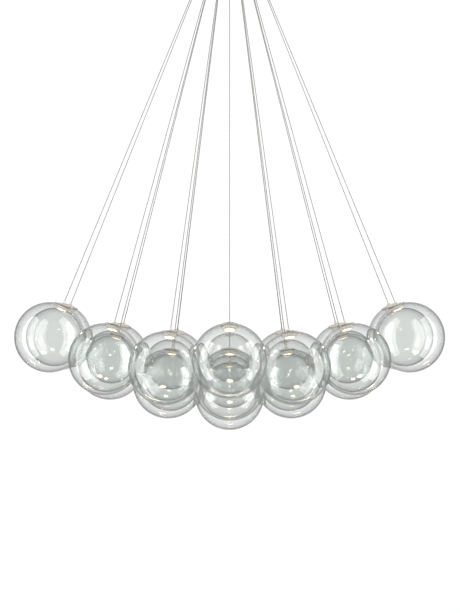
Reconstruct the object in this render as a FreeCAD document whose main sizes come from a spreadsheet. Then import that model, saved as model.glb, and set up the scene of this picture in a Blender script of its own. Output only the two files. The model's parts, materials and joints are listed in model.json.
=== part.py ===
import FreeCAD, Part
import math
import os

import Sketcher
from FreeCAD import Placement, Rotation, Vector

# Cluster pendant: 23 clear glass globes, each hung on its own thin cable from one round
# ceiling canopy. Millimetres and degrees. The origin is the centre of the face that lies
# on the ceiling, +Z is up and -Y faces the viewer.

doc = FreeCAD.newDocument("cluster_pendant")
sheet = doc.addObject("Spreadsheet::Sheet", "Sizes")

DRIVING_SIZES = {
    # the cluster
    "globe_diameter": 120.0,
    "globe_gap": 0.4,
    "side_columns": 3,
    "middle_column_globes": 5,
    "middle_drop": 722.0,
    "aim_rise": 86.0,
    "cable_step": 15.0,
    # glass
    "glass_wall": 2.0,
    "neck_hole_diameter": 22.0,
    "lip_radius": 1.2,
    "lip_bulge": 0.6,
    # cables
    "cable_diameter": 1.6,
    "cable_bore_clearance": 0.2,
    "cable_end_gap": 0.9,
    # lamp head
    "cap_diameter": 30.0,
    "cap_thickness": 0.8,
    "gasket_thickness": 0.5,
    "gasket_inset": 0.6,
    "relief_height": 5.4,
    "relief_collar_height": 1.2,
    "relief_flare_radius": 6.0,
    "relief_base_diameter": 9.0,
    "relief_tip_diameter": 3.2,
    "relief_shank_diameter": 5.0,
    "relief_shank_reach": 3.0,
    "core_clearance": 0.6,
    "core_reach": 9.0,
    "clip_diameter": 27.0,
    "clip_thickness": 1.2,
    "lens_diameter": 17.0,
    "lens_seat_depth": 2.2,
    "lens_edge": 1.4,
    "lens_crown": 0.9,
    "led_board_thickness": 0.8,
    # canopy
    "canopy_diameter": 200.0,
    "canopy_height": 48.0,
    "canopy_wall": 1.5,
    "canopy_edge_radius": 6.0,
    "canopy_ceiling_gap": 0.5,
    "plate_thickness": 2.0,
    "plate_clearance": 1.0,
    "fixing_circle": 140.0,
    "fixing_hole_diameter": 5.5,
    "fixing_count": 4,
    "lug_count": 3,
    "lug_width": 20.0,
    "lug_height": 22.0,
    "lug_thickness": 3.0,
    "side_screw_depth": 14.0,
    # canopy screws
    "screw_diameter": 4.0,
    "screw_length": 5.8,
    "screw_head_diameter": 7.6,
    "screw_head_height": 2.4,
    "screw_head_edge": 1.3,
    "screw_head_slope": 1.3,
    "screw_clearance": 0.05,
    # mains entry
    "entry_x": 25.0,
    "entry_y": 50.0,
    "entry_bore_diameter": 8.0,
    "entry_hole_diameter": 13.0,
    "grommet_flange_diameter": 18.0,
    "grommet_flange_height": 1.5,
    "grommet_recess": 0.2,
    # cable grips
    "grip_diameter": 12.0,
    "grip_height": 6.0,
    "grip_nose_diameter": 6.0,
    "grip_shank_diameter": 8.0,
    "grip_shank_height": 6.5,
    "grip_hole_clearance": 0.1,
    "nut_across_flats": 12.0,
    "nut_height": 4.0,
    # board and its spacers
    "board_diameter": 164.0,
    "board_thickness": 1.6,
    "spacer_height": 10.0,
    "spacer_across_flats": 5.5,
    "spacer_circle": 150.0,
    "spacer_count": 4,
    "spacer_pin_diameter": 3.0,
    # driver
    "driver_length": 112.0,
    "driver_width": 42.0,
    "driver_height": 22.0,
    "driver_edge_radius": 2.5,
    "driver_ear_length": 12.0,
    "driver_ear_width": 16.0,
    "driver_ear_thickness": 4.0,
    # mains terminal
    "terminal_x": -20.0,
    "terminal_y": 60.0,
    "terminal_length": 34.0,
    "terminal_width": 20.0,
    "terminal_height": 14.0,
    "terminal_floor": 4.0,
    "terminal_well_diameter": 9.0,
    "terminal_way_diameter": 3.0,
    "terminal_way_depth": 5.0,
    "terminal_way_pitch": 12.0,
    # wiring between terminal, driver and board
    "wire_diameter": 2.4,
    "output_wire_reach": 8.0,
    "output_wire_bend": 5.0,
    "output_wire_clearance": 7.2,
}


class Size:
    """A number that keeps the sheet expression it comes from."""

    def __init__(self, value, text):
        self.value = float(value)
        self.text = text

    @staticmethod
    def of(other):
        return other if isinstance(other, Size) else Size(other, repr(float(other)))

    def __add__(self, other):
        other = Size.of(other)
        return Size(self.value + other.value, f"({self.text} + {other.text})")

    def __sub__(self, other):
        other = Size.of(other)
        return Size(self.value - other.value, f"({self.text} - {other.text})")

    def __mul__(self, other):
        other = Size.of(other)
        return Size(self.value * other.value, f"({self.text} * {other.text})")

    def __truediv__(self, other):
        other = Size.of(other)
        return Size(self.value / other.value, f"({self.text} / {other.text})")

    def __neg__(self):
        return Size(-self.value, f"(0 - {self.text})")


ZERO = Size(0, "0")


def root(size):
    return Size(math.sqrt(size.value), f"sqrt({size.text})")


def height_on_ball(ball_radius, distance):
    """Height above a ball's centre of the ring on its surface at this distance from the axis."""
    return root(ball_radius * ball_radius - distance * distance)


for row, (alias, number) in enumerate(DRIVING_SIZES.items(), start=1):
    sheet.set(f"A{row}", str(number))
    sheet.setAlias(f"A{row}", alias)
doc.recompute()


def size(alias):
    return Size(sheet.get(alias), f"Sizes.{alias}")


def bind(item, **sizes):
    """Set properties of an object and tie them to the sheet."""
    for name, value in sizes.items():
        value = Size.of(value)
        setattr(item, name, value.value)
        item.setExpression(name, value.text)


# ---------------------------------------------------------------- sketches


def fix_point(sketch, geometry, point, across, up):
    """Hold one point of a sketch at sizes across and up from the sketch's origin."""
    for kind, axis, value in (("DistanceX", -2, across), ("DistanceY", -1, up)):
        if value.value == 0:
            sketch.addConstraint(Sketcher.Constraint("PointOnObject", geometry, point, axis))
        else:
            index = sketch.addConstraint(
                Sketcher.Constraint(kind, -1, 1, geometry, point, value.value)
            )
            sketch.setExpression(f"Constraints[{index}]", value.text)


def arc_between(start, end, radius, bulge):
    """An arc from start to end, bulging to the left of the way (+1) or to the right (-1)."""
    way = end - start
    left = Vector(-way.y, way.x, 0) * (1 / way.Length)
    off = math.sqrt(max(radius**2 - (way.Length / 2) ** 2, 0))
    centre = (start + end) * 0.5 - left * (bulge * off)
    first, last = (end, start) if bulge > 0 else (start, end)
    angles = [math.atan2(spot.y - centre.y, spot.x - centre.x) for spot in (first, last)]
    return Part.ArcOfCircle(Part.Circle(centre, Vector(0, 0, 1), radius), *angles)


def draw_outline(sketch, corners):
    """Close an outline of corners (across, up) or (across, up, radius, bulge).

    The last two give the arc that leads to the next corner.
    """
    spots = [Vector(c[0].value, c[1].value, 0) for c in corners]
    first = sketch.GeometryCount
    ends = []
    for index, corner in enumerate(corners):
        here, there = spots[index], spots[(index + 1) % len(corners)]
        if len(corner) == 2:
            sketch.addGeometry(Part.LineSegment(here, there), False)
            ends.append((1, 2))
        else:
            radius, bulge = corner[2:]
            sketch.addGeometry(arc_between(here, there, radius.value, bulge), False)
            ends.append((2, 1) if bulge > 0 else (1, 2))
    for index, corner in enumerate(corners):
        line, following = first + index, first + (index + 1) % len(corners)
        link = (line, ends[index][1], following, ends[following - first][0])
        sketch.addConstraint(Sketcher.Constraint("Coincident", *link))
        fix_point(sketch, line, ends[index][0], corner[0], corner[1])
        if len(corner) > 2:
            number = sketch.addConstraint(Sketcher.Constraint("Radius", line, corner[2].value))
            sketch.setExpression(f"Constraints[{number}]", corner[2].text)


def draw_circle(sketch, across, up, radius):
    spot = Vector(across.value, up.value, 0)
    circle = sketch.addGeometry(Part.Circle(spot, Vector(0, 0, 1), radius.value), False)
    fix_point(sketch, circle, 3, across, up)
    number = sketch.addConstraint(Sketcher.Constraint("Radius", circle, radius.value))
    sketch.setExpression(f"Constraints[{number}]", radius.text)


def draw_box(sketch, left, right, low, high):
    draw_outline(sketch, [(left, low), (right, low), (right, high), (left, high)])


UPRIGHT = Placement(Vector(0, 0, 0), Rotation(Vector(1, 0, 0), 90))


def profile(name, corners):
    """A free half section: across is the distance from the axis, up is along it."""
    sketch = doc.addObject("Sketcher::SketchObject", name)
    sketch.Placement = UPRIGHT
    draw_outline(sketch, corners)
    return sketch


def hexagon(name, across_flats, bore_radius=None):
    """A free hexagon, flats facing +X and -X, with a round hole if bore_radius is given."""
    sketch = doc.addObject("Sketcher::SketchObject", name)
    flat = across_flats / 2
    tip = across_flats / math.sqrt(3)
    half = tip / 2
    draw_outline(
        sketch,
        [(flat, -half), (flat, half), (ZERO, tip), (-flat, half), (-flat, -half), (ZERO, -tip)],
    )
    if bore_radius is not None:
        draw_circle(sketch, ZERO, ZERO, bore_radius)
    return sketch


# ---------------------------------------------------------------- solids

nodes = []


def keep(item, label):
    """Mark an object as a sub-part under the name that its file gets."""
    item.Label = label
    nodes.append(item)
    return item


def turned(name, section, placement):
    """A solid of revolution of a half section about its axis, put where placement says."""
    solid = doc.addObject("Part::Revolution", name)
    solid.Source = section
    solid.Axis = Vector(0, 0, 1)
    solid.Base = Vector(0, 0, 0)
    solid.Angle = 360.0
    solid.Solid = True
    solid.Placement = placement
    return solid


def prism(name, section, length, placement):
    solid = doc.addObject("Part::Extrusion", name)
    solid.Base = section
    solid.DirMode = "Custom"
    solid.Dir = Vector(0, 0, 1)
    solid.Solid = True
    bind(solid, LengthFwd=length)
    solid.Placement = placement
    return solid


def rod(name, diameter, length, placement):
    """A plain round bar whose length is a size of the sheet."""
    solid = doc.addObject("Part::Cylinder", name)
    bind(solid, Radius=diameter / 2, Height=length)
    solid.Placement = placement
    return solid


def group(label, members):
    """Several separate solids kept as one sub-part."""
    compound = doc.addObject("Part::Compound", label)
    compound.Links = members
    return keep(compound, label)


def at(x, y, z):
    return Placement(Vector(x, y, z), Rotation())


def new_body(label):
    return keep(doc.addObject("PartDesign::Body", label), label)


def plane_of(body, role):
    return next(item for item in body.Origin.OriginFeatures if item.Role == role)


def body_sketch(body, name, role="XY_Plane", offset=ZERO):
    """An empty sketch on a plane of the body's own origin, moved offset along its normal."""
    sketch = body.newObject("Sketcher::SketchObject", name)
    sketch.AttachmentSupport = [(plane_of(body, role), "")]
    sketch.MapMode = "FlatFace"
    sketch.AttachmentOffset = at(0, 0, offset.value)
    sketch.setExpression("AttachmentOffset.Base.z", offset.text)
    return sketch


def pad_down(body, name, sketch, depth):
    pad = body.newObject("PartDesign::Pad", name)
    pad.Profile = sketch
    bind(pad, Length=depth)
    pad.Reversed = True
    return pad


THROUGH_ALL = 1


def cut_through(body, name, sketch, reverse=False):
    pocket = body.newObject("PartDesign::Pocket", name)
    pocket.Profile = sketch
    pocket.Type = THROUGH_ALL
    pocket.Reversed = reverse
    return pocket


def cut_in(body, name, sketch, depth, reverse):
    pocket = body.newObject("PartDesign::Pocket", name)
    pocket.Profile = sketch
    bind(pocket, Length=depth)
    pocket.Reversed = reverse
    return pocket


def around_z(body, name, features, count):
    pattern = body.newObject("PartDesign::PolarPattern", name)
    pattern.Originals = features
    pattern.Axis = (plane_of(body, "Z_Axis"), [""])
    pattern.Angle = 360.0
    pattern.Occurrences = int(count.value)
    pattern.setExpression("Occurrences", count.text)
    body.Tip = pattern
    return pattern


# ---------------------------------------------------------------- where the globes hang

globe_radius = size("globe_diameter") / 2
pitch = (size("globe_diameter") + size("globe_gap")).value
side_columns = int(size("side_columns").value)
middle_column_globes = int(size("middle_column_globes").value)

canopy_face = -size("canopy_height")
mouth = canopy_face - size("grip_height")
swing_level = mouth - size("cable_end_gap")
middle_globe = canopy_face - size("middle_drop")
aim_point = Vector(0, 0, size("aim_rise").value)
aim_height = size("aim_rise") - middle_globe
SETTLING_STEPS = 40


def reach_from_aim(lattice_radius):
    """Distance from the aim point to a globe's centre, shorter by one step per pitch."""
    return aim_height.value - size("cable_step").value * lattice_radius


def centre_of_globe(x, y, column, row):
    lattice_radius = math.hypot(column * math.sqrt(3) / 2, row)
    reach = reach_from_aim(lattice_radius)
    return Vector(x, y, aim_point.z - math.sqrt(reach**2 - x**2 - y**2))


def rows_of(column):
    """Places along a column, in pitches from its middle."""
    count = middle_column_globes - abs(column)
    return [index - (count - 1) / 2 for index in range(count)]


def lean_out(column, inner):
    """The X at which a column's globes just clear those of the next column inwards."""
    x = inner[0].x + pitch
    for _ in range(SETTLING_STEPS):
        needed = []
        for row in rows_of(column):
            globe = centre_of_globe(x, row * pitch, column, row)
            for other in inner:
                room = pitch**2 - (globe.y - other.y) ** 2 - (globe.z - other.z) ** 2
                needed.append(other.x + math.sqrt(max(room, 0)))
        x = max(needed)
    return x


def hang_globes():
    """Centres of all globes, in columns that lean on each other, from the middle outwards."""
    places = [(0, row, centre_of_globe(0, row * pitch, 0, row)) for row in rows_of(0)]
    inner = [place[2] for place in places]
    for column in range(1, side_columns + 1):
        x = lean_out(column, inner)
        inner = []
        for row in rows_of(column):
            inner.append(centre_of_globe(x, row * pitch, column, row))
            places.append((column, row, inner[-1]))
            places.append((-column, row, centre_of_globe(-x, row * pitch, column, row)))
    return places


def is_edge(column, row):
    """Whether a globe hangs on the outside of the cluster, with nothing beyond it."""
    last_row = (middle_column_globes - abs(column) - 1) / 2
    return abs(row) == last_row or abs(column) == side_columns


class Pendant:
    """One hanging globe: its number, its centre and the line of its cable."""

    def __init__(self, number, centre, edge):
        self.number = number
        self.centre = centre
        self.edge = edge
        self.up = (aim_point - centre).normalize()
        self.turn = Rotation(Vector(0, 0, 1), self.up)
        self.place = Placement(centre, self.turn)
        self.mouth = self.crossing(mouth.value)
        self.pivot = self.crossing(swing_level.value)

    def crossing(self, level):
        """Where the cable's line passes through a level."""
        return self.centre + self.up * ((level - self.centre.z) / self.up.z)


def number_pendants():
    """Inner pendants first, then the edge ones, each set from the middle out and round."""
    found = hang_globes()
    found.sort(
        key=lambda f: (
            is_edge(f[0], f[1]),
            round(math.hypot(f[2].x, f[2].y)),
            round(math.degrees(math.atan2(f[2].y, f[2].x)) % 360, 3),
        )
    )
    return [
        Pendant(number, centre, is_edge(column, row))
        for number, (column, row, centre) in enumerate(found, start=1)
    ]


pendants = number_pendants()
inner_pendants = [p for p in pendants if not p.edge]
edge_pendants = [p for p in pendants if p.edge]

# ---------------------------------------------------------------- sections of one pendant
# Across is the distance from the cable's axis, up is the height above the globe's centre.

inside_radius = globe_radius - size("glass_wall")
neck_radius = size("neck_hole_diameter") / 2
lip_start = neck_radius + size("lip_bulge")
globe_section = profile(
    "globe_section",
    [
        (ZERO, -globe_radius, globe_radius, -1),
        (lip_start, height_on_ball(globe_radius, lip_start), size("lip_radius"), -1),
        (lip_start, height_on_ball(inside_radius, lip_start), inside_radius, 1),
        (ZERO, -inside_radius),
    ],
)

cable_radius = size("cable_diameter") / 2
cable_bore = cable_radius + size("cable_bore_clearance")
cap_radius = size("cap_diameter") / 2
cap_inside = globe_radius + size("gasket_thickness")
cap_outside = cap_inside + size("cap_thickness")
shank_radius = size("relief_shank_diameter") / 2
cap_section = profile(
    "cap_section",
    [
        (shank_radius, height_on_ball(cap_inside, shank_radius), cap_inside, 1),
        (cap_radius, height_on_ball(cap_inside, cap_radius)),
        (cap_radius, height_on_ball(cap_outside, cap_radius), cap_outside, -1),
        (shank_radius, height_on_ball(cap_outside, shank_radius)),
    ],
)

gasket_radius = cap_radius - size("gasket_inset")
gasket_section = profile(
    "gasket_section",
    [
        (lip_start, height_on_ball(globe_radius, lip_start), globe_radius, 1),
        (gasket_radius, height_on_ball(globe_radius, gasket_radius)),
        (gasket_radius, height_on_ball(cap_inside, gasket_radius), cap_inside, -1),
        (lip_start, height_on_ball(cap_inside, lip_start)),
    ],
)

relief_seat = height_on_ball(cap_outside, shank_radius)
relief_base = size("relief_base_diameter") / 2
relief_rim = height_on_ball(cap_outside, relief_base)
relief_top = cap_outside + size("relief_height")
relief_foot = cap_inside - size("relief_shank_reach")
relief_section = profile(
    "relief_section",
    [
        (cable_bore, relief_foot),
        (shank_radius, relief_foot),
        (shank_radius, relief_seat, cap_outside, 1),
        (relief_base, relief_rim),
        (relief_base, cap_outside + size("relief_collar_height"), size("relief_flare_radius"), 1),
        (size("relief_tip_diameter") / 2, relief_top),
        (cable_bore, relief_top),
    ],
)

core_radius = neck_radius - size("core_clearance")
core_foot = globe_radius - size("core_reach")
lens_radius = size("lens_diameter") / 2
board_top = core_foot + size("lens_seat_depth")
board_foot = board_top - size("led_board_thickness")
core_section = profile(
    "core_section",
    [
        (cable_bore, board_top),
        (lens_radius, board_top),
        (lens_radius, core_foot),
        (core_radius, core_foot),
        (core_radius, height_on_ball(cap_inside, core_radius), cap_inside, -1),
        (shank_radius, height_on_ball(cap_inside, shank_radius)),
        (shank_radius, relief_foot),
        (cable_bore, relief_foot),
    ],
)

clip_radius = size("clip_diameter") / 2
clip_edge = height_on_ball(inside_radius, clip_radius)
clip_section = profile(
    "clip_section",
    [
        (core_radius, clip_edge - size("clip_thickness")),
        (clip_radius, clip_edge - size("clip_thickness")),
        (clip_radius, clip_edge, inside_radius, -1),
        (core_radius, height_on_ball(inside_radius, core_radius)),
    ],
)

led_board_section = profile(
    "led_board_section",
    [
        (ZERO, board_foot),
        (lens_radius, board_foot),
        (lens_radius, board_top),
        (ZERO, board_top),
    ],
)

crown = size("lens_crown")
crown_radius = (lens_radius * lens_radius + crown * crown) / (crown * 2)
lens_section = profile(
    "lens_section",
    [
        (ZERO, board_foot - size("lens_edge") - crown, crown_radius, -1),
        (lens_radius, board_foot - size("lens_edge")),
        (lens_radius, board_foot),
        (ZERO, board_foot),
    ],
)


def globe_of(pendant):
    return turned(f"glass_{pendant.number:02}", globe_section, pendant.place)


def piece_of(pendant, name, section):
    return turned(f"{name}_{pendant.number:02}", section, pendant.place)


def core_pieces(pendant):
    """What sits in the globe's neck: heat sink, its clip and gasket, and the LED board."""
    return [
        piece_of(pendant, "core", core_section),
        piece_of(pendant, "clip", clip_section),
        piece_of(pendant, "gasket", gasket_section),
        piece_of(pendant, "led_board", led_board_section),
    ]


def cable_of(pendant):
    """The straight cable from its swing point below the grip down to the LED board."""
    start = pendant.centre + pendant.up * board_top.value
    cable = doc.addObject("Part::Cylinder", f"wire_{pendant.number:02}")
    bind(cable, Radius=cable_radius)
    cable.Height = (pendant.pivot - start).Length
    cable.Placement = Placement(start, pendant.turn)
    return cable


for pendant in edge_pendants:
    keep(globe_of(pendant), f"globe_{pendant.number:02}")
    group(
        f"lamp_{pendant.number:02}",
        [
            piece_of(pendant, "cap", cap_section),
            piece_of(pendant, "relief", relief_section),
            *core_pieces(pendant),
            piece_of(pendant, "lens", lens_section),
        ],
    )
    keep(cable_of(pendant), f"cable_{pendant.number:02}")

group("inner_globes", [globe_of(p) for p in inner_pendants])
group("inner_caps", [piece_of(p, "cap", cap_section) for p in inner_pendants])
group("inner_strain_reliefs", [piece_of(p, "relief", relief_section) for p in inner_pendants])
group("inner_lamp_cores", [piece for p in inner_pendants for piece in core_pieces(p)])
group("inner_lenses", [piece_of(p, "lens", lens_section) for p in inner_pendants])
group("inner_cables", [cable_of(p) for p in inner_pendants])

# ---------------------------------------------------------------- canopy

canopy_radius = size("canopy_diameter") / 2
canopy_inside = canopy_radius - size("canopy_wall")
canopy_floor = canopy_face + size("canopy_wall")
edge_radius = size("canopy_edge_radius")
inner_edge_radius = edge_radius - size("canopy_wall")
canopy_rim = -size("canopy_ceiling_gap")
screw_radius = size("screw_diameter") / 2
screw_hole = screw_radius + size("screw_clearance")
grip_hole = size("grip_shank_diameter") / 2 + size("grip_hole_clearance")


def make_canopy_cover():
    """A spun dish with a hole for each cable grip and one for each side screw."""
    body = new_body("canopy_cover")
    section = body_sketch(body, "dish_section", "XZ_Plane")
    draw_outline(
        section,
        [
            (ZERO, canopy_face),
            (canopy_radius - edge_radius, canopy_face, edge_radius, -1),
            (canopy_radius, canopy_face + edge_radius),
            (canopy_radius, canopy_rim),
            (canopy_inside, canopy_rim),
            (canopy_inside, canopy_face + edge_radius, inner_edge_radius, 1),
            (canopy_radius - edge_radius, canopy_floor),
            (ZERO, canopy_floor),
        ],
    )
    dish = body.newObject("PartDesign::Revolution", "dish")
    dish.Profile = section
    dish.ReferenceAxis = (section, ["V_Axis"])
    dish.Angle = 360.0
    holes = body_sketch(body, "grip_holes")
    for pendant in pendants:
        draw_circle(holes, Size.of(pendant.mouth.x), Size.of(pendant.mouth.y), grip_hole)
    cut_through(body, "grip_hole_cuts", holes)
    side = body_sketch(body, "side_hole", "YZ_Plane")
    draw_circle(side, ZERO, -size("side_screw_depth"), screw_hole)
    side_cut = cut_through(body, "side_hole_cut", side, reverse=True)
    around_z(body, "side_hole_pattern", [side_cut], size("lug_count"))


plate_radius = canopy_inside - size("plate_clearance")
plate_foot = -size("plate_thickness")
ear_hole_x = size("driver_length") / 2 + size("driver_ear_length") / 2


def make_ceiling_plate():
    """A flat disc with folded lugs that take the cover's side screws."""
    body = new_body("ceiling_plate")
    disc = body_sketch(body, "disc_outline")
    draw_circle(disc, ZERO, ZERO, plate_radius)
    pad_down(body, "disc", disc, size("plate_thickness"))
    lug = body_sketch(body, "lug_outline")
    half = size("lug_width") / 2
    draw_box(lug, plate_radius - size("lug_thickness"), plate_radius, -half, half)
    lug_pad = pad_down(body, "lug", lug, size("lug_height"))
    tapped = body_sketch(body, "lug_hole", "YZ_Plane")
    draw_circle(tapped, ZERO, -size("side_screw_depth"), screw_hole)
    lug_hole = cut_through(body, "lug_hole_cut", tapped, reverse=True)
    around_z(body, "lug_pattern", [lug_pad, lug_hole], size("lug_count"))
    fixing = body_sketch(body, "fixing_hole")
    diagonal = size("fixing_circle") / (2 * math.sqrt(2))
    draw_circle(fixing, diagonal, diagonal, size("fixing_hole_diameter") / 2)
    fixing_cut = cut_through(body, "fixing_hole_cut", fixing)
    around_z(body, "fixing_pattern", [fixing_cut], size("fixing_count"))
    others = body_sketch(body, "entry_and_screw_holes")
    draw_circle(others, size("entry_x"), size("entry_y"), size("entry_hole_diameter") / 2)
    for x in (ear_hole_x, -ear_hole_x):
        draw_circle(others, x, ZERO, screw_hole)
    draw_circle(others, size("terminal_x"), size("terminal_y"), screw_hole)
    body.Tip = cut_through(body, "entry_and_screw_cuts", others)


def make_inlet_grommet():
    """A bush in the ceiling plate's mains entry, flanged below the plate only."""
    bore = size("entry_bore_diameter") / 2
    sleeve = size("entry_hole_diameter") / 2
    flange = size("grommet_flange_diameter") / 2
    section = profile(
        "grommet_section",
        [
            (bore, plate_foot - size("grommet_flange_height")),
            (flange, plate_foot - size("grommet_flange_height")),
            (flange, plate_foot),
            (sleeve, plate_foot),
            (sleeve, -size("grommet_recess")),
            (bore, -size("grommet_recess")),
        ],
    )
    place = at(size("entry_x").value, size("entry_y").value, 0)
    keep(turned("inlet_grommet", section, place), "inlet_grommet")


def make_screws():
    """Identical pan-head screws: the cover's side screws, the driver's and the terminal's."""
    head = size("screw_head_height")
    head_radius = size("screw_head_diameter") / 2
    section = profile(
        "screw_section",
        [
            (ZERO, -head),
            (head_radius - size("screw_head_slope"), -head),
            (head_radius, -size("screw_head_edge")),
            (head_radius, ZERO),
            (screw_radius, ZERO),
            (screw_radius, size("screw_length")),
            (ZERO, size("screw_length")),
        ],
    )
    places = []
    for index in range(int(size("lug_count").value)):
        spin = Rotation(Vector(0, 0, 1), 360.0 * index / size("lug_count").value)
        seat = Vector(canopy_radius.value, 0, -size("side_screw_depth").value)
        inward = Rotation(Vector(0, 0, 1), Vector(-1, 0, 0))
        places.append(Placement(spin.multVec(seat), spin.multiply(inward)))
    ear_level = (plate_foot - size("driver_ear_thickness")).value
    for x in (ear_hole_x.value, -ear_hole_x.value):
        places.append(at(x, 0, ear_level))
    terminal_level = (plate_foot - size("terminal_floor")).value
    places.append(at(size("terminal_x").value, size("terminal_y").value, terminal_level))
    group("fixing_screws", [turned(f"screw_{i}", section, p) for i, p in enumerate(places)])


def make_cable_grips():
    """A turned grip per cable, its nose below the canopy and its threaded shank inside."""
    grip_radius = size("grip_diameter") / 2
    nose_radius = size("grip_nose_diameter") / 2
    shank = size("grip_shank_diameter") / 2
    section = profile(
        "grip_section",
        [
            (cable_bore, -size("grip_height")),
            (nose_radius, -size("grip_height")),
            (grip_radius, -size("grip_height") / 2),
            (grip_radius, ZERO),
            (shank, ZERO),
            (shank, size("grip_shank_height")),
            (cable_bore, size("grip_shank_height")),
        ],
    )
    nut_section = hexagon("nut_section", size("nut_across_flats"), shank + size("screw_clearance"))
    grips, nuts, leads = [], [], []
    lead_length = board_level - mouth
    for pendant in pendants:
        spot = pendant.mouth
        tag = f"{pendant.number:02}"
        grips.append(turned(f"grip_{tag}", section, at(spot.x, spot.y, canopy_face.value)))
        nut_place = at(spot.x, spot.y, canopy_floor.value)
        nuts.append(prism(f"nut_{tag}", nut_section, size("nut_height"), nut_place))
        lead_place = at(spot.x, spot.y, mouth.value)
        leads.append(rod(f"lead_{tag}", size("cable_diameter"), lead_length, lead_place))
    group("cable_grips", grips)
    group("grip_nuts", nuts)
    group("lamp_leads", leads)


board_level = canopy_floor + size("spacer_height")


def make_board():
    """The round board that joins all lamp leads, on spacers that stand on the canopy floor."""
    body = new_body("distribution_board")
    outline = body_sketch(body, "board_outline", offset=board_level + size("board_thickness"))
    draw_circle(outline, ZERO, ZERO, size("board_diameter") / 2)
    pad_down(body, "board", outline, size("board_thickness"))
    hole = body_sketch(body, "spacer_hole")
    across = size("spacer_circle") / 2
    draw_circle(hole, across, ZERO, size("spacer_pin_diameter") / 2)
    hole_cut = cut_through(body, "spacer_hole_cut", hole)
    around_z(body, "spacer_hole_pattern", [hole_cut], size("spacer_count"))
    section = hexagon("spacer_section", size("spacer_across_flats"))
    spacers = []
    for index in range(int(size("spacer_count").value)):
        spin = Rotation(Vector(0, 0, 1), 360.0 * index / size("spacer_count").value)
        foot = spin.multVec(Vector(across.value, 0, canopy_floor.value))
        post = prism(f"post_{index}", section, size("spacer_height"), Placement(foot, spin))
        head = spin.multVec(Vector(across.value, 0, board_level.value))
        pin = rod(f"pin_{index}", size("spacer_pin_diameter"), size("board_thickness"),
                  Placement(head, spin))
        spacer = doc.addObject("Part::Fuse", f"spacer_{index}")
        spacer.Base = post
        spacer.Tool = pin
        spacers.append(spacer)
    group("board_spacers", spacers)


def make_driver():
    """The LED driver: a rounded case with an ear at each end, screwed up to the plate."""
    body = new_body("led_driver")
    length = size("driver_length") / 2
    width = size("driver_width") / 2
    outline = body_sketch(body, "case_outline", offset=plate_foot)
    draw_box(outline, -length, length, -width, width)
    case = pad_down(body, "case", outline, size("driver_height"))
    doc.recompute()
    sharp = []
    for number, edge in enumerate(case.Shape.Edges, start=1):
        box = edge.BoundBox
        upright = box.ZLength > size("driver_height").value / 2
        lowest = box.ZMax < plate_foot.value - size("driver_height").value / 2
        if upright or lowest:
            sharp.append(f"Edge{number}")
    rounding = body.newObject("PartDesign::Fillet", "case_rounding")
    rounding.Base = (case, sharp)
    bind(rounding, Radius=size("driver_edge_radius"))
    ears = body_sketch(body, "ear_outline", offset=plate_foot)
    reach = length + size("driver_ear_length")
    half_ear = size("driver_ear_width") / 2
    inset = size("driver_edge_radius")
    draw_box(ears, length - inset, reach, -half_ear, half_ear)
    draw_box(ears, -reach, inset - length, -half_ear, half_ear)
    pad_down(body, "ears", ears, size("driver_ear_thickness"))
    holes = body_sketch(body, "ear_holes")
    for x in (ear_hole_x, -ear_hole_x):
        draw_circle(holes, x, ZERO, screw_hole)
    body.Tip = cut_through(body, "ear_hole_cuts", holes)


wire_radius = size("wire_diameter") / 2
wire_level = plate_foot - size("terminal_height") / 2
WAYS = (-1, 0, 1)


def make_mains_terminal():
    """A three-way terminal block: a screw well in its middle, wire ways in its long sides."""
    body = new_body("mains_terminal")
    middle_x, middle_y = size("terminal_x"), size("terminal_y")
    half_length = size("terminal_length") / 2
    half_width = size("terminal_width") / 2
    outline = body_sketch(body, "block_outline", offset=plate_foot)
    draw_box(outline, middle_x - half_length, middle_x + half_length,
             middle_y - half_width, middle_y + half_width)
    pad_down(body, "block", outline, size("terminal_height"))
    hole = body_sketch(body, "block_screw_hole")
    draw_circle(hole, middle_x, middle_y, screw_hole)
    cut_through(body, "block_screw_hole_cut", hole)
    well = body_sketch(body, "screw_well", offset=plate_foot - size("terminal_floor"))
    draw_circle(well, middle_x, middle_y, size("terminal_well_diameter") / 2)
    cut_through(body, "screw_well_cut", well)
    for name, face, inward in (
        ("driver_side_ways", half_width - middle_y, False),
        ("mains_side_ways", -middle_y - half_width, True),
    ):
        ways = body_sketch(body, name, "XZ_Plane", offset=face)
        for index in WAYS:
            way_x = middle_x + size("terminal_way_pitch") * index
            draw_circle(ways, way_x, wire_level, size("terminal_way_diameter") / 2)
        body.Tip = cut_in(body, f"{name}_cut", ways, size("terminal_way_depth"), inward)


def output_wire(name, side):
    """A wire out of the driver's end, turned down onto the board."""
    bend = size("output_wire_bend").value
    start = Vector(-size("driver_length").value / 2, side, wire_level.value)
    corner = start - Vector(size("output_wire_reach").value, 0, 0)
    foot = Vector(corner.x, side, (board_level + size("board_thickness")).value)
    before = corner + Vector(bend, 0, 0)
    after = corner - Vector(0, 0, bend)
    middle = corner + Vector(bend, 0, -bend) + Vector(-bend, 0, bend) * math.sqrt(0.5)
    route = Part.Wire([
        Part.LineSegment(start, before).toShape(),
        Part.Arc(before, middle, after).toShape(),
        Part.LineSegment(after, foot).toShape(),
    ])
    ring = Part.Wire([Part.Circle(start, Vector(-1, 0, 0), wire_radius.value).toShape()])
    wire = doc.addObject("Part::Feature", name)
    wire.Shape = route.makePipeShell([ring], True, False)
    return wire


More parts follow.
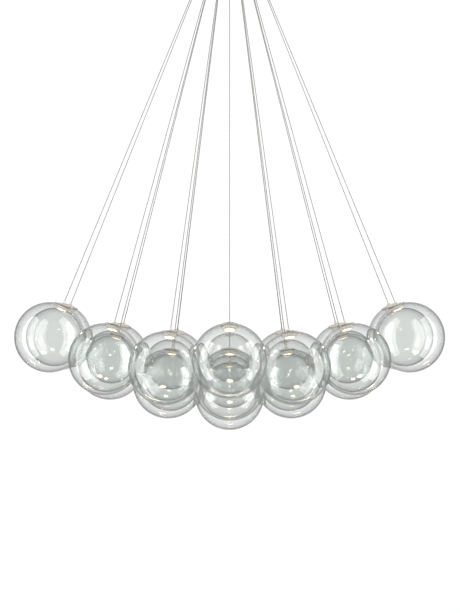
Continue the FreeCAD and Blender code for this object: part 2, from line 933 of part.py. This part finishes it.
def make_driver_leads():
    """Three mains wires from the terminal to the driver and two from the driver to the board."""
    terminal_face = size("terminal_y") - size("terminal_width") / 2
    span = terminal_face + size("terminal_way_depth") - size("driver_width") / 2
    leads = []
    for index in WAYS:
        x = (size("terminal_x") + size("terminal_way_pitch") * index).value
        start = Vector(x, size("driver_width").value / 2, wire_level.value)
        along_y = Placement(start, Rotation(Vector(0, 0, 1), Vector(0, 1, 0)))
        leads.append(rod(f"mains_wire_{index + 1}", size("wire_diameter"), span, along_y))
    beside_ear = (size("driver_ear_width") / 2 + size("output_wire_clearance")).value
    leads.append(output_wire("output_wire_0", -beside_ear))
    leads.append(output_wire("output_wire_1", beside_ear))
    group("driver_leads", leads)


make_canopy_cover()
make_ceiling_plate()
make_inlet_grommet()
make_screws()
make_cable_grips()
make_board()
make_driver()
make_mains_terminal()
make_driver_leads()

# ---------------------------------------------------------------- test and write

doc.recompute()
for item in doc.Objects:
    if {"Invalid", "Error"} & set(item.State):
        raise RuntimeError(f"{item.Label} failed: {item.State}")
for node in nodes:
    if node.Shape.isNull() or not node.Shape.isValid() or not node.Shape.Solids:
        raise RuntimeError(f"{node.Label} has no valid solid")

os.makedirs("parts", exist_ok=True)
for node in nodes:
    node.Shape.exportStep(f"parts/{node.Label}.step")

for pendant in pendants:
    spot = pendant.centre
    print(f"pendant {pendant.number:02} edge={pendant.edge}"
          f" centre=({spot.x:.2f}, {spot.y:.2f}, {spot.z:.2f})")
print(len(nodes), "sub-parts")
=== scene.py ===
import json
import math

import bpy
from mathutils import Matrix, Vector


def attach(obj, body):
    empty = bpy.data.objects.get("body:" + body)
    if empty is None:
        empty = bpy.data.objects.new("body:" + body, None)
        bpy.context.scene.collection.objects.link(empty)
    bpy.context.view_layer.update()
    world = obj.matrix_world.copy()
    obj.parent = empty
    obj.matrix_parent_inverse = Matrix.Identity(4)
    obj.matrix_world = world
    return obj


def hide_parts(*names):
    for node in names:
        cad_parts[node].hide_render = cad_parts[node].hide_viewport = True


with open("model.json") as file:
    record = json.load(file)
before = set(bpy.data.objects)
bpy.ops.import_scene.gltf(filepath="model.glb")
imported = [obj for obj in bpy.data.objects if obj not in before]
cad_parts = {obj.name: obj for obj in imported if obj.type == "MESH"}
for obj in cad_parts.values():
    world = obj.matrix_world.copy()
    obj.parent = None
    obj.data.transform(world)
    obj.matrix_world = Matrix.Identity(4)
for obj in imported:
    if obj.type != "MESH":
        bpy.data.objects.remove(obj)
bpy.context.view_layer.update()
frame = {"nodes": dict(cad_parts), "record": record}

# ------------------------------------------------------------------ where everything hangs
# Sizes are in millimetres up to the point where MM turns them into metres.
MM = 0.001
GLOBE, INSIDE, NECK = 60.0, 58.0, 11.0
PITCH = 120.4
MIDDLE_COUNT = 5
OUTER_COLUMN = 3
SETTLING_STEPS = 40
# The cables aim at one point above the ceiling and get shorter for each step outward.
AIM = Vector((0, 0, 86.0))
REACH, REACH_STEP = 856.0, 15.0
SWING_LEVEL = -54.9


def centre_of_globe(x, y, column, row):
    reach = REACH - REACH_STEP * math.hypot(column * math.sqrt(3) / 2, row)
    return Vector((x, y, AIM.z - math.sqrt(reach**2 - x * x - y * y)))


def last_row(column):
    return (MIDDLE_COUNT - abs(column) - 1) / 2


def rows_of(column):
    return [i - last_row(column) for i in range(MIDDLE_COUNT - abs(column))]


def is_edge(column, row):
    return abs(row) == last_row(column) or abs(column) == OUTER_COLUMN


def hang_globes():
    """Each column stands where its globes just keep one pitch from the column inside it."""
    places = [(0, r, centre_of_globe(0, r * PITCH, 0, r)) for r in rows_of(0)]
    inward = [centre for _, _, centre in places]
    for column in range(1, OUTER_COLUMN + 1):
        x = inward[0].x + PITCH
        for _ in range(SETTLING_STEPS):
            needed = []
            for row in rows_of(column):
                g = centre_of_globe(x, row * PITCH, column, row)
                for o in inward:
                    room = PITCH**2 - (g.y - o.y) ** 2 - (g.z - o.z) ** 2
                    needed.append(o.x + math.sqrt(max(room, 0)))
            x = max(needed)
        inward = []
        for row in rows_of(column):
            inward.append(centre_of_globe(x, row * PITCH, column, row))
            places.append((column, row, inward[-1]))
            places.append((-column, row, centre_of_globe(-x, row * PITCH, column, row)))
    return places


def numbering(place):
    """Inner pendants first, then by distance from the middle, then round it."""
    column, row, centre = place
    turned = math.degrees(math.atan2(centre.y, centre.x)) % 360
    return is_edge(column, row), round(math.hypot(centre.x, centre.y)), round(turned, 3)


class Pendant:
    """One globe with its lamp head and cable, and the body that they ride on."""

    def __init__(self, number, column, row, centre):
        self.edge = is_edge(column, row)
        self.tag = f"{number:02}"
        self.centre = centre
        self.up = (AIM - centre).normalized()
        self.pivot = centre + self.up * ((SWING_LEVEL - centre.z) / self.up.z)
        self.body = f"pendant_{self.tag}" if self.edge else "canopy"
        self.turn = Vector((0, 0, 1)).rotation_difference(self.up).to_matrix().to_4x4()
        self.place = Matrix.Translation(centre * MM) @ self.turn @ Matrix.Scale(MM, 4)


pendants = [
    Pendant(number, *place)
    for number, place in enumerate(sorted(hang_globes(), key=numbering), start=1)
]
edge_pendants = [p for p in pendants if p.edge]
inner_pendants = [p for p in pendants if not p.edge]

# ------------------------------------------------------------------ shader nodes


def material(name):
    m = bpy.data.materials.new(name)
    m.use_nodes = True
    return m, m.node_tree.nodes, m.node_tree.links, m.node_tree.nodes["Principled BSDF"]


def add(nodes, kind, **values):
    """A new node, with each value set on its input, or on the node where no input has that name."""
    n = nodes.new(kind)
    for key, value in values.items():
        if key in n.inputs:
            n.inputs[key].default_value = value
        else:
            setattr(n, key, value)
    return n


def noise(nodes, links, scale, detail, stretch=(1, 1, 1)):
    where = add(nodes, "ShaderNodeTexCoord")
    mapped = add(nodes, "ShaderNodeMapping", Scale=stretch)
    links.new(where.outputs["Object"], mapped.inputs["Vector"])
    n = add(nodes, "ShaderNodeTexNoise", Scale=scale, Detail=detail)
    links.new(mapped.outputs["Vector"], n.inputs["Vector"])
    return n.outputs["Fac"]


NOISE_LOW, NOISE_HIGH = 0.35, 0.65


def ramp(nodes, links, source, low, high, start=NOISE_LOW, end=NOISE_HIGH):
    """A number that goes from low to high while the source goes from start to end."""
    r = add(nodes, "ShaderNodeMapRange")
    r.inputs["From Min"].default_value, r.inputs["From Max"].default_value = start, end
    r.inputs["To Min"].default_value, r.inputs["To Max"].default_value = low, high
    links.new(source, r.inputs["Value"])
    return r.outputs["Result"]


def mix_colour(nodes, links, factor, low, high):
    m = add(nodes, "ShaderNodeMix", data_type="RGBA")
    m.inputs[6].default_value, m.inputs[7].default_value = (*low, 1), (*high, 1)
    links.new(factor, m.inputs["Factor"])
    return m.outputs[2]


def bump(nodes, links, shader, height, strength, distance):
    b = add(nodes, "ShaderNodeBump", Strength=strength, Distance=distance)
    links.new(height, b.inputs["Height"])
    links.new(b.outputs["Normal"], shader.inputs["Normal"])


def is_reflected(nodes, links):
    """One for a ray that has been reflected, otherwise nought."""
    path = nodes.new("ShaderNodeLightPath")
    more = add(nodes, "ShaderNodeMath", operation="GREATER_THAN")
    more.inputs[1].default_value = 0.5
    links.new(path.outputs["Glossy Depth"], more.inputs[0])
    return more.outputs[0]


def one_for_reflections(nodes, links, direct, reflected):
    """The direct shader, which gives way to the other one in reflections."""
    either = nodes.new("ShaderNodeMixShader")
    links.new(is_reflected(nodes, links), either.inputs[0])
    links.new(direct.outputs[0], either.inputs[1])
    links.new(reflected.outputs[0], either.inputs[2])
    return either.outputs[0]


# ------------------------------------------------------------------ materials
# Noise scales are per metre, bump distances in metres.
WHITE = (1, 1, 1, 1)
CLOUD_DETAIL = 2.0
GRAIN_DEPTH = 0.0002
WAVE_SCALE, WAVE_DETAIL, WAVE_STRENGTH, WAVE_DEPTH = 26.0, 1.5, 0.002, 0.002
GLASS_DENSITY = 36.0
GLASS_TINT = (0.59, 0.61, 0.60, 1)
METAL_CLOUD, PLASTIC_CLOUD, GLOW_CLOUD = 35.0, 30.0, 600.0


def clear_glass():
    m, nodes, links, p = material("clear_glass")
    p.inputs["Base Color"].default_value = (0.952, 0.962, 0.956, 1)
    p.inputs["Transmission Weight"].default_value = 1
    p.inputs["IOR"].default_value = 1.5
    p.inputs["Roughness"].default_value = 0.0
    tint = add(nodes, "ShaderNodeVolumeAbsorption", Density=GLASS_DENSITY, Color=GLASS_TINT)
    links.new(tint.outputs[0], nodes["Material Output"].inputs["Volume"])
    wave = noise(nodes, links, WAVE_SCALE, WAVE_DETAIL)
    bump(nodes, links, p, wave, WAVE_STRENGTH, WAVE_DEPTH)
    return m


def grained(name, low, high, rough, grain, cloud_scale, strength):
    """A surface whose colour drifts between two tones and whose grain breaks its shine."""
    m, nodes, links, p = material(name)
    fine = noise(nodes, links, *grain)
    cloud = noise(nodes, links, cloud_scale, CLOUD_DETAIL)
    links.new(mix_colour(nodes, links, cloud, low, high), p.inputs["Base Color"])
    links.new(ramp(nodes, links, fine, *rough), p.inputs["Roughness"])
    bump(nodes, links, p, fine, strength, GRAIN_DEPTH)
    return m, p


def metal(name, low, high, rough, scale=900.0, stretch=(1, 1, 1), strength=0.015, metallic=1.0):
    span = (rough - 0.06, rough + 0.08)
    m, p = grained(name, low, high, span, (scale, 3.0, stretch), METAL_CLOUD, strength)
    p.inputs["Metallic"].default_value = metallic
    return m


def plastic(name, low, high, rough, scale=400.0, strength=0.08, coat=0.0):
    span = (rough - 0.05, rough + 0.08)
    m, p = grained(name, low, high, span, (scale, 4.0), PLASTIC_CLOUD, strength)
    p.inputs["Coat Weight"].default_value = coat
    return m


def glowing(name, strength):
    m, nodes, links, p = material(name)
    p.inputs["Base Color"].default_value = (0.95, 0.92, 0.85, 1)
    p.inputs["Roughness"].default_value = 0.4
    cloud = noise(nodes, links, GLOW_CLOUD, CLOUD_DETAIL)
    warm = mix_colour(nodes, links, cloud, (1.0, 0.80, 0.56), (1.0, 0.86, 0.66))
    links.new(warm, p.inputs["Emission Color"])
    p.inputs["Emission Strength"].default_value = strength
    return m


glass = clear_glass()
nickel = metal("satin_nickel", (0.84, 0.78, 0.70), (0.88, 0.83, 0.76), 0.46, metallic=0.4)
# lamp_core also carries a painted glow, set on its shader below.
core_metal = metal("lamp_core", (0.84, 0.81, 0.76), (0.89, 0.87, 0.82), 0.42, metallic=0.25)
gasket = plastic("gasket", (0.62, 0.60, 0.56), (0.70, 0.68, 0.64), 0.45)
lens = glowing("led_lens", 3.2)
lens_rim = glowing("led_lens_rim", 0.15)
jacket = plastic(
    "cable_jacket", (0.36, 0.36, 0.35), (0.44, 0.44, 0.43), 0.4, 1500.0, strength=0.1, coat=0.1
)
# Painted glow: the stem and the clip under the cap get a warm emission, a painted light that stands
# in for the lamp's own light falling on them.
stem = core_metal.node_tree.nodes["Principled BSDF"]
stem.inputs["Emission Color"].default_value = (1.0, 0.90, 0.76, 1)
stem.inputs["Emission Strength"].default_value = 0.32
finishes = {
    "canopy_metal": metal(
        "canopy_metal", (0.60, 0.56, 0.50), (0.68, 0.64, 0.58), 0.32, 700.0, (1, 1, 12), 0.06
    ),
    "zinc_plate": metal(
        "zinc_plate", (0.58, 0.59, 0.60), (0.72, 0.73, 0.74), 0.38, scale=220.0, strength=0.1
    ),
    "nickel_brass": metal("nickel_brass", (0.66, 0.64, 0.60), (0.74, 0.72, 0.68), 0.22),
    "satin_nickel": nickel,
    "board_laminate": plastic(
        "board_laminate", (0.78, 0.80, 0.76), (0.86, 0.87, 0.84), 0.35, 300.0, 0.03, coat=0.4
    ),
    "white_plastic": plastic("white_plastic", (0.80, 0.80, 0.78), (0.87, 0.87, 0.85), 0.42),
    "black_rubber": plastic("black_rubber", (0.02, 0.02, 0.02), (0.045, 0.045, 0.045), 0.62),
    "wire_jacket": plastic("wire_jacket", (0.72, 0.72, 0.70), (0.80, 0.80, 0.78), 0.4),
    "cable_jacket": jacket,
    "lamp_core": core_metal,
    "clear_glass": glass,
    "led_lens": lens,
}

slots = {s["node"]: s["material_slot"] for s in frame["record"]["subparts"]}
for name, node in frame["nodes"].items():
    node.data.materials.clear()
    node.data.materials.append(finishes[slots[name]])

# ------------------------------------------------------------------ turned pieces
# An outline is a half section: (distance from the axis, height above the globe's centre).
FINE, PLAIN, SMALL = 112, 64, 32
SHARP_ABOVE = 35


def link(name, data):
    obj = bpy.data.objects.new(name, data)
    bpy.context.scene.collection.objects.link(obj)
    return obj


def ball(radius, across):
    """Height of a ball's upper half at this distance from the axis."""
    return math.sqrt(radius * radius - across * across)


def arc(cx, cy, radius, start, end, steps):
    """Points of an arc in the half section, with angles from outward towards up."""
    return [
        (
            cx + radius * math.cos(math.radians(start + (end - start) * i / steps)),
            cy + radius * math.sin(math.radians(start + (end - start) * i / steps)),
        )
        for i in range(steps + 1)
    ]


class Shape:
    """Vertices and faces of turned pieces, gathered in one mesh with several materials."""

    def __init__(self):
        self.points, self.faces, self.slots, self.finishes = [], [], [], []

    def ring(self, across, up, place, around):
        """Numbers of the new points on one circle, or of the one point on the axis."""
        first = len(self.points)
        if across == 0:
            self.points.append(place @ Vector((0, 0, up)))
        else:
            for k in range(around):
                a = 2 * math.pi * k / around
                self.points.append(place @ Vector((across * math.cos(a), across * math.sin(a), up)))
        return range(first, len(self.points))

    def turn(self, outline, finish, place, around=PLAIN):
        if finish not in self.finishes:
            self.finishes.append(finish)
        slot = self.finishes.index(finish)
        rings = [self.ring(across, up, place, around) for across, up in outline]
        for low, high in zip(rings, rings[1:]):
            for k in range(around):
                n = (k + 1) % around
                if len(low) == 1:
                    face = (low[0], high[n], high[k])
                elif len(high) == 1:
                    face = (low[k], low[n], high[0])
                else:
                    face = (low[k], low[n], high[n], high[k])
                self.faces.append(face)
                self.slots.append(slot)

    def put(self, name, body, node):
        mesh = bpy.data.meshes.new(name)
        mesh.from_pydata(self.points, [], self.faces)
        for finish in self.finishes:
            mesh.materials.append(finish)
        mesh.polygons.foreach_set("material_index", self.slots)
        mesh.polygons.foreach_set("use_smooth", [True] * len(self.faces))
        mesh.update()
        mesh.set_sharp_from_angle(angle=math.radians(SHARP_ABOVE))
        obj = link(name, mesh)
        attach(obj, body)
        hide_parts(node)


# Where the lip's round starts on the outer skin, its middle, and where it ends inside.
LIP_START, LIP_MIDDLE, LIP_END = NECK + 0.95, NECK + 0.98, NECK + 1.15
LIP_ROUND = 0.96
SKIN_STEPS, LIP_STEPS = 60, 10


def globe_outline():
    """Outer skin from the bottom up, a fire-polished round lip, then the inner skin down."""
    outer = arc(0, 0, GLOBE, -90, math.degrees(math.acos(LIP_START / GLOBE)), SKIN_STEPS)
    lip_height = (ball(GLOBE, LIP_MIDDLE) + ball(INSIDE, LIP_MIDDLE)) / 2
    lip = arc(LIP_MIDDLE, lip_height, LIP_ROUND, 78, 282, LIP_STEPS)
    inner = arc(0, 0, INSIDE, math.degrees(math.acos(LIP_END / INSIDE)), -90, SKIN_STEPS)
    return [(0, -GLOBE)] + outer[1:] + lip + inner[:-1] + [(0, -INSIDE)]


CAP, CAP_BORE, CAP_ROUND = 15.0, 2.5, 0.39
CAP_IN, CAP_OUT = 60.5, 61.3
CAP_STEPS, RIM_STEPS = 14, 8


def cap_outline():
    """A thin domed disc with a round edge, closed on itself."""
    flat = CAP - CAP_ROUND
    across = [CAP_BORE + (flat - CAP_BORE) * i / CAP_STEPS for i in range(CAP_STEPS + 1)]
    rim_height = (ball(CAP_IN, flat) + ball(CAP_OUT, flat)) / 2
    under = [(x, ball(CAP_IN, x)) for x in across]
    over = [(x, ball(CAP_OUT, x)) for x in reversed(across)]
    return under + arc(flat, rim_height, CAP_ROUND, -80, 75, RIM_STEPS) + over + under[:1]


CONE_FOOT, CONE_TIP = 4.5, 1.65
FLARE_HEIGHT, FLARE_POWER, FLARE_STEPS = 4.9, 2.2, 12


def relief_outline():
    """A cone that flares into the cap, with a rounded tip where the cable goes in."""
    base = ball(CAP_OUT, CONE_FOOT)
    foot = [(2.4, base - 0.6), (CONE_FOOT, base - 0.05)]
    flare = [
        (
            CONE_TIP + (CONE_FOOT - CONE_TIP) * (1 - i / FLARE_STEPS) ** FLARE_POWER,
            base + FLARE_HEIGHT * (i / FLARE_STEPS),
        )
        for i in range(FLARE_STEPS + 1)
    ]
    tip = [(1.6, 5.2), (1.45, 5.42), (1.2, 5.5), (1.0, 5.45), (1.0, 3.5)]
    return foot + flare + [(across, base + up) for across, up in tip]


CORE, CORE_FOOT, BOARD_TOP = 10.4, 51.0, 53.2


def core_outline():
    """The stem: the lens seat, a bevelled foot, a groove, and up to the cap's underside."""
    seat = [(1.0, BOARD_TOP), (8.45, BOARD_TOP)]
    foot = [(8.6, CORE_FOOT + 0.25), (8.9, CORE_FOOT), (10.1, CORE_FOOT), (CORE, CORE_FOOT + 0.3)]
    groove = [(CORE, 54.2), (9.9, 54.5), (9.9, 55.1), (CORE, 55.4)]
    return seat + foot + groove + [(CORE, ball(CAP_IN, CORE)), (CAP_BORE, CAP_IN - 0.1)]


CLIP = 13.5


def clip_outline():
    """The spring ring that holds the glass from inside."""
    edge = ball(INSIDE, CLIP)
    return [
        (CORE, edge - 1.2),
        (13.0, edge - 1.2),
        (13.4, edge - 0.9),
        (CLIP, edge - 0.3),
        (13.3, edge),
        (CORE, ball(INSIDE, CORE) - 0.05),
    ]


GASKET_BORE, GASKET = 11.1, 14.4


def gasket_outline():
    """The soft ring between the glass and the cap."""
    return [
        (GASKET_BORE, ball(GLOBE, GASKET_BORE)),
        (14.2, ball(GLOBE, 14.2)),
        (GASKET, ball(GLOBE, GASKET) + 0.2),
        (14.3, ball(CAP_IN, 14.3)),
        (GASKET_BORE, ball(CAP_IN, GASKET_BORE)),
    ]


LENS, LIT = 8.4, 8.0
LENS_BACK, LENS_SIDE, LENS_CROWN = 52.4, 1.4, 0.9
LENS_STEPS = 9


def lens_face(across):
    return LENS_BACK - LENS_SIDE - LENS_CROWN * (1 - (across / LENS) ** 2)


def lens_outline():
    """The crowned lit face."""
    across = [LIT * i / LENS_STEPS for i in range(LENS_STEPS + 1)]
    return [(x, lens_face(x)) for x in across]


def lens_rim_outline():
    """The dim border and side of the lens."""
    return [
        (LIT, lens_face(LIT)),
        (8.25, LENS_BACK - 1.38),
        (LENS, LENS_BACK - 1.2),
        (8.45, LENS_BACK - 0.8),
        (8.45, LENS_BACK),
    ]


def turn_globe(shape, place):
    shape.turn(globe_outline(), glass, place, FINE)


def turn_cap(shape, place):
    shape.turn(cap_outline(), nickel, place)


def turn_relief(shape, place):
    shape.turn(relief_outline(), nickel, place, SMALL)


def turn_core(shape, place):
    shape.turn(core_outline(), core_metal, place)
    shape.turn(clip_outline(), core_metal, place)
    shape.turn(gasket_outline(), gasket, place)


def turn_lens(shape, place):
    shape.turn(lens_outline(), lens, place)
    shape.turn(lens_rim_outline(), lens_rim, place)


for p in edge_pendants:
    blown = Shape()
    turn_globe(blown, p.place)
    blown.put(f"blown_globe_{p.tag}", p.body, f"globe_{p.tag}")
    head = Shape()
    for turn_part in (turn_cap, turn_relief, turn_core, turn_lens):
        turn_part(head, p.place)
    head.put(f"lamp_head_{p.tag}", p.body, f"lamp_{p.tag}")

for turn_part, name, slot, node in (
    (turn_globe, "inner_blown_globes", "clear_glass", "inner_globes"),
    (turn_cap, "inner_cap_discs", "satin_nickel", "inner_caps"),
    (turn_relief, "inner_relief_cones", "satin_nickel", "inner_strain_reliefs"),
    (turn_core, "inner_core_stems", "lamp_core", "inner_lamp_cores"),
    (turn_lens, "inner_lens_discs", "led_lens", "inner_lenses"),
):
    gathered = Shape()
    for p in inner_pendants:
        turn_part(gathered, p.place)
    gathered.put(name, "canopy", node)

# ------------------------------------------------------------------ cables
CABLE = 1.6
SPANS = 5
for p in pendants:
    foot = p.centre + p.up * BOARD_TOP
    curve = bpy.data.curves.new(f"cord_{p.tag}", "CURVE")
    curve.dimensions = "3D"
    curve.bevel_depth = CABLE / 2 * MM
    curve.bevel_resolution = 4
    curve.use_fill_caps = True
    line = curve.splines.new("NURBS")
    line.points.add(SPANS)
    for i, point in enumerate(line.points):
        point.co = (*(p.pivot.lerp(foot, i / SPANS) * MM), 1)
    line.order_u = 3
    line.use_endpoint_u = True
    curve.materials.append(jacket)
    cord = link(f"cord_{p.tag}", curve)
    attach(cord, p.body)
    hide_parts(f"cable_{p.tag}" if p.edge else "inner_cables")

# ------------------------------------------------------------------ studio, in metres


def stage_panel(name, corners, finish):
    mesh = bpy.data.meshes.new(name)
    mesh.from_pydata(corners, [], [(0, 1, 2, 3)])
    mesh.materials.append(finish)
    panel = link(name, mesh)
    return panel


# A pale floor far below, which only direct views show.
pale, nodes, links, shader = material("pale_floor")
shade = noise(nodes, links, 0.4, CLOUD_DETAIL)
tone = mix_colour(nodes, links, shade, (0.96, 0.96, 0.96), (0.98, 0.98, 0.98))
links.new(tone, shader.inputs["Base Color"])
shader.inputs["Roughness"].default_value = 0.8
shader.inputs["Specular IOR Level"].default_value = 0.0
FAR_OUT, FLOOR = 60.0, -5.2
floor = stage_panel(
    "floor",
    [
        (-FAR_OUT, -FAR_OUT, FLOOR),
        (FAR_OUT, -FAR_OUT, FLOOR),
        (FAR_OUT, FAR_OUT, FLOOR),
        (-FAR_OUT, FAR_OUT, FLOOR),
    ],
    pale,
)
floor.visible_glossy = False
floor.visible_transmission = False

# White all round, but reflections show grey with darker side walls and a paler backdrop.
WHITE_LEVEL, SOFTBOX_LEVEL = 1.08, 3.7
FRONT_LEVEL, WALL_LEVEL, BACKDROP_LEVEL = 0.42, 0.20, 0.42
scene = bpy.context.scene
world = bpy.data.worlds.new("studio")
scene.world = world
world.use_nodes = True
nodes, links = world.node_tree.nodes, world.node_tree.links
nodes.clear()
out = nodes.new("ShaderNodeOutputWorld")
white = add(nodes, "ShaderNodeBackground", Color=WHITE, Strength=WHITE_LEVEL)
grey = add(nodes, "ShaderNodeBackground", Color=WHITE)
where = add(nodes, "ShaderNodeTexCoord")
split = add(nodes, "ShaderNodeSeparateXYZ")
links.new(where.outputs["Generated"], split.inputs[0])
depth = split.outputs["Y"]
walls = ramp(nodes, links, depth, FRONT_LEVEL, WALL_LEVEL, start=0.0, end=0.45)
backdrop = ramp(nodes, links, depth, 0.0, BACKDROP_LEVEL, start=0.82, end=0.97)
level = add(nodes, "ShaderNodeMath", operation="ADD")
links.new(walls, level.inputs[0])
links.new(backdrop, level.inputs[1])
links.new(level.outputs[0], grey.inputs["Strength"])
links.new(one_for_reflections(nodes, links, white, grey), out.inputs["Surface"])

# Two tall softboxes close to the sides, which only reflections show.
softbox, nodes, links, shader = material("softbox")
nodes.remove(shader)
glow = add(nodes, "ShaderNodeEmission", Color=WHITE, Strength=SOFTBOX_LEVEL)
clear = nodes.new("ShaderNodeBsdfTransparent")
surface = nodes["Material Output"].inputs["Surface"]
links.new(one_for_reflections(nodes, links, clear, glow), surface)
softbox.cycles.emission_sampling = "NONE"
NEAR_END, FAR_END = (0.717, -0.487), (0.875, -0.054)
BOTTOM, TOP = -1.50, 0.12
for side, name in ((-1, "softbox_left"), (1, "softbox_right")):
    near, far = [(side * x, y) for x, y in (NEAR_END, FAR_END)]
    corners = [(*near, BOTTOM), (*far, BOTTOM), (*far, TOP), (*near, TOP)]
    stage_panel(name, corners, softbox)

# The light that each lamp gives off, which shows as sparks in the glass.
LIGHT_HEIGHT = 49.9
LIGHT_WATTS = 0.085
LIGHT_COLOUR = (1.0, 0.86, 0.68)
for p in pendants:
    lamp = bpy.data.lights.new(f"lamp_light_{p.tag}", "AREA")
    lamp.shape = "DISK"
    lamp.size = 2 * LIT * MM
    lamp.energy = LIGHT_WATTS
    lamp.color = LIGHT_COLOUR
    lamp.use_nodes = True
    nodes, links = lamp.node_tree.nodes, lamp.node_tree.links
    links.new(is_reflected(nodes, links), nodes["Emission"].inputs["Strength"])
    source = link(lamp.name, lamp)
    source.matrix_world = Matrix.Translation((p.centre + p.up * LIGHT_HEIGHT) * MM) @ p.turn
    source.visible_camera = False
    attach(source, p.body)

# ------------------------------------------------------------------ camera and render
# The focal length and the horizon are in pixels of the photo, the film in millimetres.
PHOTO_HEIGHT, FOCAL, HORIZON = 613, 1510.0, 325
FILM = 36
STAND = (0.0006, -2.625, -0.6477)
BOUNCES, GLOSSY_BOUNCES = 48, 12
camera = bpy.data.cameras.new("camera")
camera.sensor_width = FILM
camera.lens = FOCAL / PHOTO_HEIGHT * FILM
viewer = link("camera", camera)
viewer.location = STAND
tilt = math.atan((HORIZON - PHOTO_HEIGHT / 2) / FOCAL)
viewer.rotation_euler = (math.pi / 2 + tilt, 0, 0)
scene.camera = viewer
scene.view_settings.view_transform = "Standard"
scene.cycles.max_bounces = BOUNCES
scene.cycles.transmission_bounces = BOUNCES
scene.cycles.glossy_bounces = GLOSSY_BOUNCES
